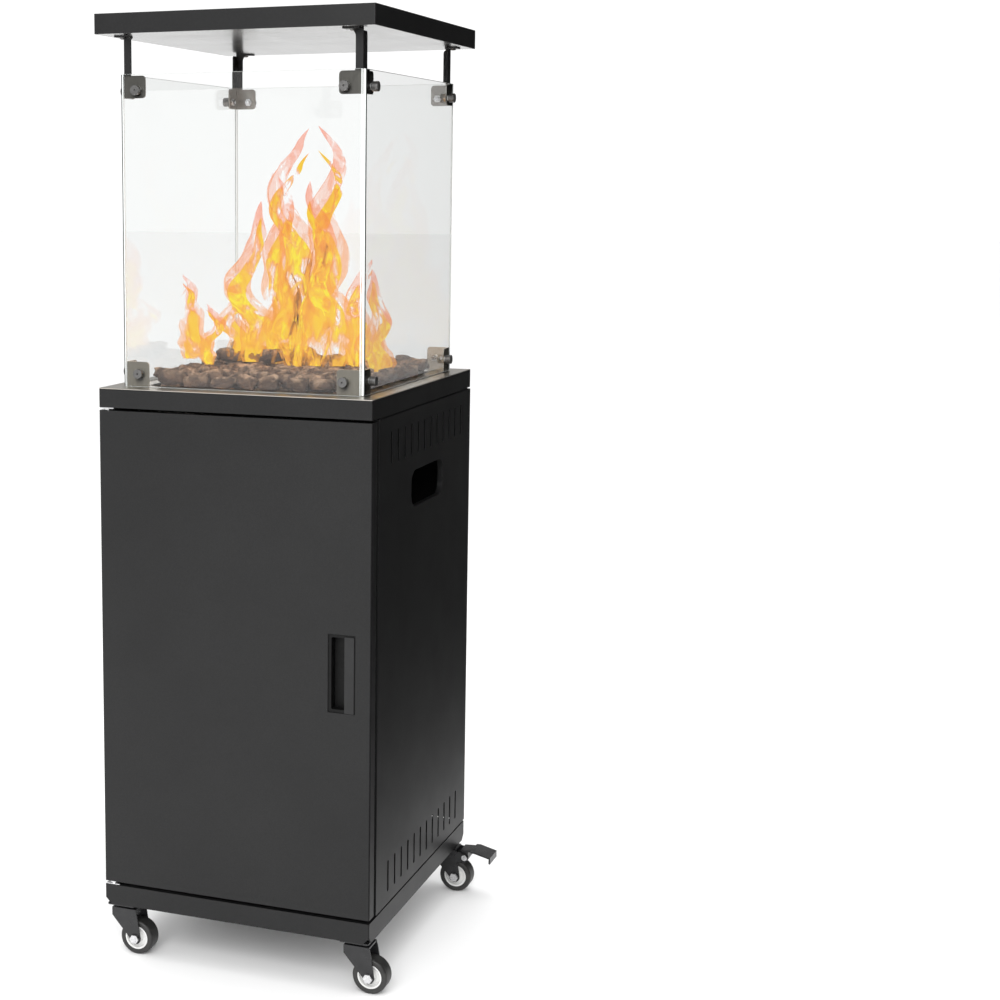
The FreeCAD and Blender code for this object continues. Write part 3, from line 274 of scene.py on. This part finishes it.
def rubber():
    """Solid tyre rubber with a little dust in its grain."""
    shader = Shader("rubber")
    paleness = shader.noise(120, detail=6, roughness=0.7)
    colour = shader.ramp(paleness, [(0.35, (0.012, 0.012, 0.012)), (0.75, (0.035, 0.034, 0.032))])
    shader.drive("Base Color", colour)
    shader.drive("Roughness", shader.spread(paleness, 0.38, 0.62))
    shader.drive("Normal", shader.bump(shader.noise(800, detail=3), 0.00006, 0.5))
    return shader.material


def lava():
    """Lava rock: brown to tan, rough and pitted, with a paler tan where it faces up, painted as light from
    above.
    """
    shader = Shader("lava_rock", roughness=0.9)
    broad = shader.noise(38, detail=6, roughness=0.65, distortion=0.6)
    streak = shader.noise(1.0, detail=5, roughness=0.7, vector=shader.scaled((70, 260, 200)))
    earth = shader.ramp(
        broad,
        [
            (0.28, (0.016, 0.009, 0.006)),
            (0.45, (0.055, 0.028, 0.016)),
            (0.60, (0.110, 0.060, 0.034)),
            (0.78, (0.20, 0.125, 0.075)),
        ],
    )
    bands = shader.ramp(
        streak,
        [
            (0.35, (0.5, 0.45, 0.42)),
            (0.55, (0.95, 0.92, 0.9)),
            (0.75, (1.6, 1.5, 1.4)),
        ],
    )
    stone = shader.mix(1.0, earth, bands, "MULTIPLY")
    # Upward faces turn a paler tan: painted light from above.
    crown = shader.add("ShaderNodeAttribute", attribute_name="crown").outputs["Fac"]
    patch = shader.spread(shader.noise(85, detail=6, roughness=0.7), 0.0, 0.85, 0.44, 0.62)
    painted_top_light = shader.add("ShaderNodeMath", operation="MULTIPLY")
    shader.link(crown, painted_top_light.inputs[0])
    shader.link(patch, painted_top_light.inputs[1])
    shader.drive("Base Color", shader.mix(painted_top_light.outputs[0], stone, (0.43, 0.285, 0.185, 1)))
    pits = shader.add("ShaderNodeTexVoronoi")
    pits.inputs["Scale"].default_value = 420
    shader.link(shader.place, pits.inputs["Vector"])
    rough = shader.bump(pits.outputs["Distance"], 0.0008, 0.5)
    shader.drive("Normal", shader.bump(shader.noise(190, detail=8, roughness=0.75), 0.0016, 0.8, rough))
    shader.drive("Roughness", shader.spread(broad, 0.75, 0.97))
    return shader.material


def glass():
    """Clear tempered glass that lets the lamps through, with faint smears in its gloss."""
    shader = Shader("glass", colour=(0.94, 0.947, 0.943), roughness=0.0)
    shader.main.inputs["Transmission Weight"].default_value = 1.0
    shader.main.inputs["IOR"].default_value = 1.47
    smear = shader.noise(6, detail=5, distortion=1.2)
    shader.drive("Roughness", shader.spread(smear, 0.0, 0.018, 0.45, 0.75))
    path = shader.add("ShaderNodeLightPath")
    clear = shader.add("ShaderNodeBsdfTransparent")
    clear.inputs["Color"].default_value = (0.93, 0.94, 0.94, 1)
    mixer = shader.add("ShaderNodeMixShader")
    shader.link(path.outputs["Is Shadow Ray"], mixer.inputs["Fac"])
    shader.link(shader.main.outputs["BSDF"], mixer.inputs[1])
    shader.link(clear.outputs["BSDF"], mixer.inputs[2])
    shader.link(mixer.outputs["Shader"], shader.output.inputs["Surface"])
    return shader.material


def glass_edge_painted_light():
    """The ground edges of a pane: a painted highlight, with a painted dark line at the far left and right
    of the glass box.
    """
    shader = Shader("glass_edge_painted_light", roughness=0.3)
    ground = shader.noise(900, detail=3)
    # The bright edge colour is a painted highlight. The dark colour further out is a painted dark line.
    painted_edge_highlight = shader.ramp(ground, [(0.3, (0.66, 0.69, 0.68)), (0.7, (0.84, 0.86, 0.855))])
    parts = shader.add("ShaderNodeSeparateXYZ")
    shader.link(shader.place, parts.inputs["Vector"])
    outward = shader.add("ShaderNodeMath", operation="ABSOLUTE")
    shader.link(parts.outputs["X"], outward.inputs[0])
    painted_dark_line = shader.spread(outward.outputs[0], 0.0, 1.0, glass_x + painted_dark_line_start, glass_x + painted_dark_line_end)
    shader.drive("Base Color", shader.mix(painted_dark_line, painted_edge_highlight, (0.012, 0.014, 0.013, 1)))
    shader.drive("Roughness", shader.spread(ground, 0.22, 0.42))
    return shader.material


def all_materials():
    """Every finish, by the name of its slot or of the place that it is for."""
    across_x = (9, 900, 900)
    across_y = (900, 8, 900)
    upright = (600, 600, 12)
    # The lower brackets' pale warm colour is partly stainless and partly a painted veil of the glass.
    foot_colour_with_painted_veil = (0.60, 0.56, 0.49)
    return {
        "black_paint": powder_coat("powder_coat", (0.0080, 0.0080, 0.0083), (0.0108, 0.0108, 0.0111)),
        "black_steel": black_steel(),
        "dark_steel": dark_steel(),
        "stainless": brushed("stainless", (0.70, 0.68, 0.64), 0.30, across_x, tint=(0.52, 0.43, 0.33)),
        # On the roof posts below the glass top, this steel is partly a painted veil of the glass.
        "bracket_steel": brushed("bracket_steel", (0.30, 0.285, 0.26), 0.2, upright, metallic=0.5),
        "bracket_foot_steel_with_painted_veil": brushed("bracket_foot_steel_with_painted_veil", foot_colour_with_painted_veil, 0.2, upright, metallic=0.5),
        "mirror_stainless": brushed("mirror_stainless", (0.36, 0.36, 0.356), 0.2, across_y),
        "zinc_steel": zinc(),
        "aluminium": cast("aluminium", (0.72, 0.73, 0.74), 0.38),
        "brass": cast("brass", (0.80, 0.60, 0.30), 0.25),
        "black_plastic": plastic("black_plastic", (0.006, 0.006, 0.006), 0.45, gloss=0.15),
        "grip_plate": plastic("grip_plate", (0.016, 0.016, 0.0165), 0.42, gloss=0.3),
        "red_plastic": plastic("red_plastic", (0.50, 0.03, 0.02), 0.30, 0.00001),
        "hub_plastic": plastic("hub_plastic", (0.72, 0.72, 0.71), 0.32, 0.00001),
        "tyre": rubber(),
        "glass": glass(),
        "glass_edge_painted_light": glass_edge_painted_light(),
        "lava_rock": lava(),
    }


materials = all_materials()


# ---- pieces taken from the frame ----
def inside_the_glass(face):
    return abs(face.center.x) < glass_x and abs(face.center.y) < glass_y


def below_the_glass_top(face):
    return face.center.z < glass_top


def on_the_grip(face):
    return face.center.x > grip_left and face.center.y < grip_back


def on_an_edge_along_x(face):
    return abs(face.normal.y) < square_on


def on_an_edge_along_y(face):
    return abs(face.normal.x) < square_on


# Nodes with a second finish on some of their faces.
second_finish = {
    "glass_bolts": ("zinc_steel", inside_the_glass),
    "handle_cup": ("grip_plate", on_the_grip),
    # The panes' edge faces take a painted highlight, with a painted dark line at the outer side edges.
    "glass_front": ("glass_edge_painted_light", on_an_edge_along_x),
    "glass_back": ("glass_edge_painted_light", on_an_edge_along_x),
    "glass_left": ("glass_edge_painted_light", on_an_edge_along_y),
    "glass_right": ("glass_edge_painted_light", on_an_edge_along_y),
}
# The roof posts take a lighter steel below the glass top. This is partly stainless and partly the painted
# light veil that the glass lays over them.
for post in [node for node in nodes if node.startswith("roof_post")]:
    second_finish[post] = ("bracket_steel", below_the_glass_top)

# Nodes whose finish is a closer match than their slot's usual one. The lower brackets' pale warm steel is
# partly stainless and partly the painted light veil of the front pane.
own_finish = {"lower_brackets": "bracket_foot_steel_with_painted_veil"}


def paint(piece, node):
    """The node's finish all over, and its second finish where it has one."""
    slots = piece.data.materials
    slots.clear()
    slots.append(materials[own_finish.get(node, slot_of[node])])
    for face in piece.data.polygons:
        face.material_index = 0
    if node in second_finish:
        name, belongs = second_finish[node]
        slots.append(materials[name])
        for face in piece.data.polygons:
            face.material_index = int(belongs(face))


def apply_modifiers(piece):
    """Gives the piece the mesh that its modifiers make, and clears them."""
    bpy.context.view_layer.update()
    depsgraph = bpy.context.evaluated_depsgraph_get()
    mesh = bpy.data.meshes.new_from_object(piece.evaluated_get(depsgraph), depsgraph=depsgraph)
    piece.modifiers.clear()
    old = piece.data
    piece.data = mesh
    bpy.data.meshes.remove(old)


def link(piece):
    """Puts an object into the scene."""
    bpy.context.scene.collection.objects.link(piece)
    return piece


def soften(node, width):
    """Puts a copy in a CAD node's place, with the sharp edges of its bends and cuts rounded a little."""
    mesh = nodes[node].data.copy()
    model = bmesh.new()
    model.from_mesh(mesh)
    bmesh.ops.remove_doubles(model, verts=model.verts, dist=weld_for_rounding)
    bmesh.ops.dissolve_limit(model, angle_limit=flat_angle, verts=model.verts, edges=model.edges)
    if node.startswith("roof_post"):
        # The cut at the glass top is where the posts' lighter finish, partly a painted veil of the glass,
        # begins.
        whole = model.verts[:] + model.edges[:] + model.faces[:]
        bmesh.ops.bisect_plane(model, geom=whole, plane_co=(0, 0, glass_top), plane_no=(0, 0, 1))
    model.to_mesh(mesh)
    model.free()
    piece = link(bpy.data.objects.new(node + "_finished", mesh))
    bevel = piece.modifiers.new("edges", "BEVEL")
    bevel.width = width
    bevel.segments = edge_segments
    bevel.limit_method = "ANGLE"
    bevel.angle_limit = sharp_angle
    bevel.use_clamp_overlap = True
    piece.data.shade_smooth()
    weighted = piece.modifiers.new("normals", "WEIGHTED_NORMAL")
    weighted.keep_sharp = True
    weighted.weight = normal_weight
    apply_modifiers(piece)
    paint(piece, node)
    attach(piece, body_of[node])
    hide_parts(node)


# Rounding of the sharp edges in mm, by node, or by the first word of a node's name.
edge_rounding = {
    "door_panel": 0.5, "deck_frame": 0.45, "base_tray": 0.45, "roof_tray": 0.5, "deck_plate": 0.4,
    "left_side_panel": 0.35, "right_side_panel": 0.35, "back_panel": 0.3, "roof_reflector": 0.3,
    "handle_cup": 0.4, "control_knob": 0.5, "control_panel": 0.4, "lower_brackets": 0.45,
    "glass_bolts": 0.45, "glass_washers": 0.5, "caster_plates": 0.4, "gas_valve": 0.6,
    "igniter_body": 0.4, "brake_pedal_back_left": 0.6, "brake_pedal_back_right": 0.6,
    "glass_front": 0.5, "glass_back": 0.5, "glass_left": 0.5, "glass_right": 0.5,
}
family_rounding = {"roof": 0.45, "fork": 0.6, "hub": 0.5, "axle": 0.5}


def finish_nodes():
    """Rounds the nodes that have a rounding, and paints every node but the rocks, which get meshes of their
    own.
    """
    for node in nodes:
        if node == "lava_rocks":
            continue
        family = node.split("_")[0]
        width = edge_rounding.get(node, family_rounding.get(family))
        if width:
            soften(node, width * MM)
        else:
            paint(nodes[node], node)


finish_nodes()


# ---- rocks ----
def islands(node):
    """Corner points of each separate solid in a CAD node."""
    model = bmesh.new()
    model.from_mesh(nodes[node].data)
    bmesh.ops.remove_doubles(model, verts=model.verts, dist=weld_for_rocks)
    left = set(model.verts)
    groups = []
    while left:
        stack = [left.pop()]
        group = []
        while stack:
            vert = stack.pop()
            group.append(tuple(vert.co))
            for edge in vert.link_edges:
                other = edge.other_vert(vert)
                if other in left:
                    left.remove(other)
                    stack.append(other)
        groups.append(np.array(group))
    model.free()
    return sorted(groups, key=lambda group: tuple(group.mean(0)))


def rock_mesh(name, length, thickness, height, seed):
    """A rough lump: a ball squared off, swollen, ridged and pitted, with a value for painted light from
    above on its crown.
    """
    model = bmesh.new()
    bmesh.ops.create_icosphere(model, subdivisions=4, radius=1.0)
    crown = model.verts.layers.float.new("crown")
    offset = Vector((seed * 3.1, seed * 1.7, seed * 2.3))
    size = Vector((length, thickness, height)) / 2
    for vert in model.verts:
        ball = vert.co.copy()
        square = Vector([math.copysign(abs(value) ** 0.66, value) for value in ball])
        swell = noise.noise(ball * 1.3 + offset) * 0.34
        stretched = Vector((ball.x * 1.6, ball.y * 4.2, ball.z * 4.2))
        ridge = abs(noise.noise(stretched + offset)) * 0.20
        fine = noise.noise(ball * 7.0 + offset) * 0.07
        pit = max(0.0, noise.noise(ball * 4.6 - offset) - 0.28) * 0.5
        scale = 1.0 + swell - ridge + fine - pit
        vert.co = Vector((square.x * size.x, square.y * size.y, square.z * size.z)) * scale
        # The higher on the rock, the paler: painted light from above.
        paleness = 0.15 + 1.1 * ball.z + 0.5 * noise.noise(ball * 1.5 - offset)
        vert[crown] = min(1.0, max(0.0, paleness))
    mesh = bpy.data.meshes.new(name)
    model.to_mesh(mesh)
    model.free()
    return mesh


def lava_rocks():
    """One rough rock for each rock of the frame, joined into a single heap."""
    model = bmesh.new()
    for index, points in enumerate(islands("lava_rocks")):
        centre = points.mean(0)
        spread = points - centre
        _, _, axes = np.linalg.svd(spread[:, :2], full_matrices=False)
        along = spread[:, :2] @ axes[0]
        across = spread[:, :2] @ axes[1]
        length = np.ptp(along) * rng.uniform(0.78, 1.24)
        thickness = np.ptp(across) * rng.uniform(0.85, 1.18)
        height = np.ptp(spread[:, 2]) * rng.uniform(0.9, 1.25)
        mesh = rock_mesh("rock", length, thickness, height, index)
        turn = math.atan2(axes[0][1], axes[0][0]) + rng.uniform(-0.55, 0.55)
        shift = Vector((rng.uniform(-3, 3), rng.uniform(-2, 2), rng.uniform(-1.0, 3.0))) * MM
        place = Matrix.Translation(Vector(centre) + shift)
        pitched = Matrix.Rotation(rng.uniform(-0.2, 0.2), 4, "Y")
        rolled = Matrix.Rotation(rng.uniform(-0.7, 0.7), 4, "X")
        turned = Matrix.Rotation(turn, 4, "Z")
        mesh.transform(place @ turned @ (pitched @ rolled))
        model.from_mesh(mesh)
        bpy.data.meshes.remove(mesh)
    heap = bpy.data.meshes.new("lava_heap")
    model.to_mesh(heap)
    model.free()
    piece = link(bpy.data.objects.new("lava_heap", heap))
    heap.shade_smooth()
    piece.data.materials.append(materials["lava_rock"])
    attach(piece, "cabinet")
    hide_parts("lava_rocks")


lava_rocks()


# ---- stage ----
def floor():
    """A wide pale floor with a faint mottle."""
    half = floor_reach
    mesh = bpy.data.meshes.new("floor")
    corners = [(-half, -half, 0), (half, -half, 0), (half, half, 0), (-half, half, 0)]
    mesh.from_pydata(corners, [], [(0, 1, 2, 3)])
    shader = Shader("floor", roughness=0.65)
    mottle = shader.ramp(shader.noise(1.5), [(0.3, (0.87, 0.87, 0.87)), (0.7, (0.885, 0.885, 0.885))])
    shader.drive("Base Color", mottle)
    mesh.materials.append(shader.material)
    piece = link(bpy.data.objects.new("floor", mesh))


def hide_lamp(holder):
    """Lets a lamp light the scene without being seen, directly or through the glass."""
    holder.visible_camera = False
    holder.visible_transmission = False


def area_light(name, place, target, size, power):
    """A soft white lamp that shines from a place towards a target."""
    lamp = bpy.data.lights.new(name, "AREA")
    lamp.shape = "RECTANGLE"
    lamp.size, lamp.size_y = size
    lamp.energy = power
    holder = link(bpy.data.objects.new(name, lamp))
    holder.location = place
    holder.rotation_euler = (Vector(target) - Vector(place)).to_track_quat("-Z", "Y").to_euler()
    hide_lamp(holder)


def dark_card(name, place, size, turn):
    """An upright black card that only reflections see, as used beside shiny goods."""
    half_length = size[0] / 2
    half_height = size[1] / 2
    corners = [(-half_length, -half_height), (half_length, -half_height)]
    corners += [(half_length, half_height), (-half_length, half_height)]
    mesh = bpy.data.meshes.new(name)
    mesh.from_pydata([(x, 0, z) for x, z in corners], [], [(0, 1, 2, 3)])
    shader = Shader(name, colour=(0.01, 0.01, 0.01), roughness=1.0)
    shader.main.inputs["Specular IOR Level"].default_value = 0.0
    mesh.materials.append(shader.material)
    card = link(bpy.data.objects.new(name, mesh))
    card.location = place
    card.rotation_euler = (0, 0, math.radians(turn))
    card.visible_camera = False
    card.visible_diffuse = False
    card.visible_transmission = False
    card.visible_shadow = False


def studio():
    """A white surround, dimmer in reflections so that black paint stays black, with lamps and a card."""
    world = bpy.data.worlds.new("studio")
    bpy.context.scene.world = world
    world.use_nodes = True
    tree = world.node_tree
    path = tree.nodes.new("ShaderNodeLightPath")
    result = tree.nodes["Background"]
    result.inputs["Strength"].default_value = surround_light
    for strength, ray, except_ray in (
        (surround_seen, "Is Camera Ray", None),
        (surround_seen, "Is Transmission Ray", None),
        (surround_mirrored, "Is Glossy Ray", "Is Transmission Ray"),
    ):
        backdrop = tree.nodes.new("ShaderNodeBackground")
        backdrop.inputs["Strength"].default_value = strength
        backdrop.inputs["Color"].default_value = (1, 1, 1, 1)
        choice = tree.nodes.new("ShaderNodeMath")
        choice.operation = "SUBTRACT"
        choice.use_clamp = True
        choice.inputs[1].default_value = 0.0
        tree.links.new(path.outputs[ray], choice.inputs[0])
        if except_ray:
            tree.links.new(path.outputs[except_ray], choice.inputs[1])
        mixer = tree.nodes.new("ShaderNodeMixShader")
        tree.links.new(choice.outputs[0], mixer.inputs["Fac"])
        tree.links.new(result.outputs[0], mixer.inputs[1])
        tree.links.new(backdrop.outputs[0], mixer.inputs[2])
        result = mixer
    tree.nodes["Background"].inputs["Color"].default_value = (1, 1, 1, 1)
    tree.links.new(result.outputs[0], tree.nodes["World Output"].inputs["Surface"])
    area_light("key", (0.6, -3.6, 2.6), (0, 0, 0.6), (2.4, 2.4), 120)
    area_light("top", (-0.4, 0.4, 4.6), (0, 0, 0.6), (3.0, 3.0), 50)
    dark_card("right_card", (0.36, 0.5, 1.10), (3.4, 2.18), 90)


# ---- flames ----
def flame_colour():
    """Burning gas: a torn orange skin around a yellow core."""
    shader = Shader("flame")
    rise = shader.add("ShaderNodeAttribute", attribute_name="rise").outputs["Fac"]
    core = shader.add("ShaderNodeAttribute", attribute_name="core").outputs["Fac"]
    orange = [(0.0, (1.0, 0.40, 0.03)), (0.5, (1.0, 0.33, 0.04)), (1.0, (1.0, 0.20, 0.06))]
    yellow = [(0.0, (1.0, 0.72, 0.02)), (0.5, (1.0, 0.80, 0.03)), (1.0, (1.0, 0.60, 0.02))]
    outer = shader.ramp(rise, orange)
    inner = shader.ramp(rise, yellow)
    licks = shader.noise(1.0, detail=5, distortion=1.1, vector=shader.scaled((34, 34, 11)))
    glow = shader.add("ShaderNodeEmission")
    glow.inputs["Strength"].default_value = 1.0
    hot = shader.mix(shader.spread(licks, 0.0, 1.0, 0.46, 0.56), outer, inner)
    shader.link(shader.mix(core, outer, hot), glow.inputs["Color"])
    body = shader.mix(core, (0.42, 0.42, 0.42, 1), (1.0, 1.0, 1.0, 1))
    torn = shader.ramp(licks, [(0.44, (0.0,) * 3), (0.50, (0.8,) * 3), (0.60, (1.0,) * 3)])
    clear = shader.add("ShaderNodeBsdfTransparent")
    mixer = shader.add("ShaderNodeMixShader")
    shader.link(shader.mix(1.0, body, torn, "MULTIPLY"), mixer.inputs["Fac"])
    shader.link(clear.outputs["BSDF"], mixer.inputs[1])
    shader.link(glow.outputs["Emission"], mixer.inputs[2])
    shader.link(mixer.outputs["Shader"], shader.output.inputs["Surface"])
    return shader.material


def flame(material, foot, height, breadth, seed):
    """One tongue: a thin skin around a fuller one, both swaying and narrowing as they rise."""
    model = bmesh.new()
    rise = model.verts.layers.float.new("rise")
    core = model.verts.layers.float.new("core")
    for depth, skin in ((0.0, 1.0), (1.0, 0.66)):
        rings = []
        for row in range(flame_rows + 1):
            level = row / flame_rows
            drift = Vector((noise.noise((level * 3.2, seed, 0)), noise.noise((level * 3.2, seed, 5)), 0))
            sway = drift * breadth * (0.25 + 0.7 * level)
            taper = (1.0 - level) ** 0.75 * (0.35 + 0.65 * min(1.0, level * 6.0))
            ring = []
            for step in range(flame_columns):
                angle = 2 * math.pi * step / flame_columns
                outward = Vector((math.cos(angle), math.sin(angle), 0))
                ripple = 1.0 + 0.7 * noise.noise(outward * 1.5 + Vector((0, 0, level * 6.0 + seed * 2)))
                radius = breadth * skin * taper * ripple / 2 + flame_least_radius
                place = Vector(foot) + sway + outward * radius
                vert = model.verts.new(place + Vector((0, 0, height * level * (0.7 + 0.3 * skin))))
                vert[rise] = level
                vert[core] = depth
                ring.append(vert)
            rings.append(ring)
        for lower, upper in zip(rings, rings[1:]):
            for step in range(flame_columns):
                after = (step + 1) % flame_columns
                model.faces.new((lower[step], lower[after], upper[after], upper[step]))
    mesh = bpy.data.meshes.new("flame")
    model.to_mesh(mesh)
    model.free()
    mesh.shade_smooth()
    mesh.materials.append(material)
    link(bpy.data.objects.new("flame", mesh))


def fire():
    """The fire over the rocks: a row of tongues, low ones at its ends, and the light that it gives."""
    material = flame_colour()
    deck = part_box("deck_plate")[1][2]
    # Each tongue's place across and back, its lift above the deck, its height and breadth, in mm.
    tongues = [
        (-92, 6, 22, 132, 50),
        (-66, -4, 22, 232, 62),
        (-34, 6, 20, 268, 70),
        (2, -4, 18, 338, 78),
        (36, 6, 18, 342, 74),
        (68, -4, 20, 262, 62),
        (94, 6, 20, 152, 48),
        (-112, -112, 34, 118, 48),
        (-84, -104, 26, 84, 36),
        (120, -8, 14, 146, 42),
        (138, -20, 12, 96, 34),
    ]
    for seed, (x, y, lift, height, breadth) in enumerate(tongues):
        flame(material, (x * MM, y * MM, deck + lift * MM), height * MM, breadth * MM, seed * 3.7)
    lamp = bpy.data.lights.new("firelight", "POINT")
    lamp.energy = 1.6
    lamp.color = (1.0, 0.55, 0.22)
    lamp.shadow_soft_size = 0.09
    holder = link(bpy.data.objects.new("firelight", lamp))
    holder.location = (0, 0, deck + 0.14)
    holder.visible_glossy = False
    hide_lamp(holder)


def camera():
    """The photograph's viewpoint, fitted to the corners of the roof, deck, door and base."""
    lens = bpy.data.cameras.new("camera")
    lens.lens = 66.35
    lens.sensor_width = 36.0
    lens.shift_x = 0.2238
    lens.shift_y = -0.05
    holder = link(bpy.data.objects.new("camera", lens))
    holder.location = (0.9834, -2.4726, 1.0901)
    yaw = math.radians(22.238)
    pitch = math.radians(8.078)
    heading = Vector((-math.sin(yaw) * math.cos(pitch), math.cos(yaw) * math.cos(pitch), -math.sin(pitch)))
    holder.rotation_euler = heading.to_track_quat("-Z", "Y").to_euler()
    bpy.context.scene.camera = holder
    bpy.context.scene.view_settings.view_transform = "Standard"


floor()
studio()
fire()
camera()
